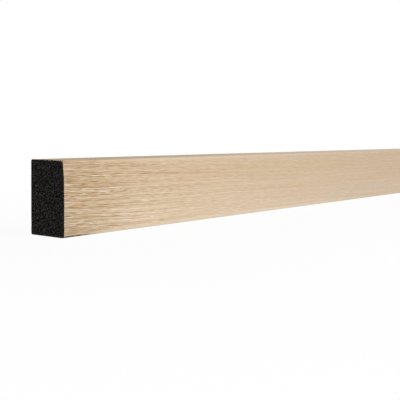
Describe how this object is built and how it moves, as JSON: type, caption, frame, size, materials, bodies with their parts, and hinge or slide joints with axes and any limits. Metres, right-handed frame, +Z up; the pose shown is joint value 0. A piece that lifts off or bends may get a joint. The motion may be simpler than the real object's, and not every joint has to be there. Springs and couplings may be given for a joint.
{
  "type": "panel moulding",
  "caption": "Straight rectangular panel moulding: a black foamed-plastic core wrapped on its face and sides in light oak wood-effect film, fixed to a wall by its flat back.",
  "frame": {"origin": "middle of the underside, which is the narrow side that the moulding stands on", "axes": "+X along the length, +Y from the show face towards the wall face, +Z up across the width of the show face"},
  "size_m": [2.7, 0.025, 0.04],
  "materials": {
    "black_foam": "matte",
    "oak_film": "matte"
  },
  "bodies": {
    "root": {"foam_core": "black_foam", "wood_film": "oak_film"}
  },
  "joints": []
}
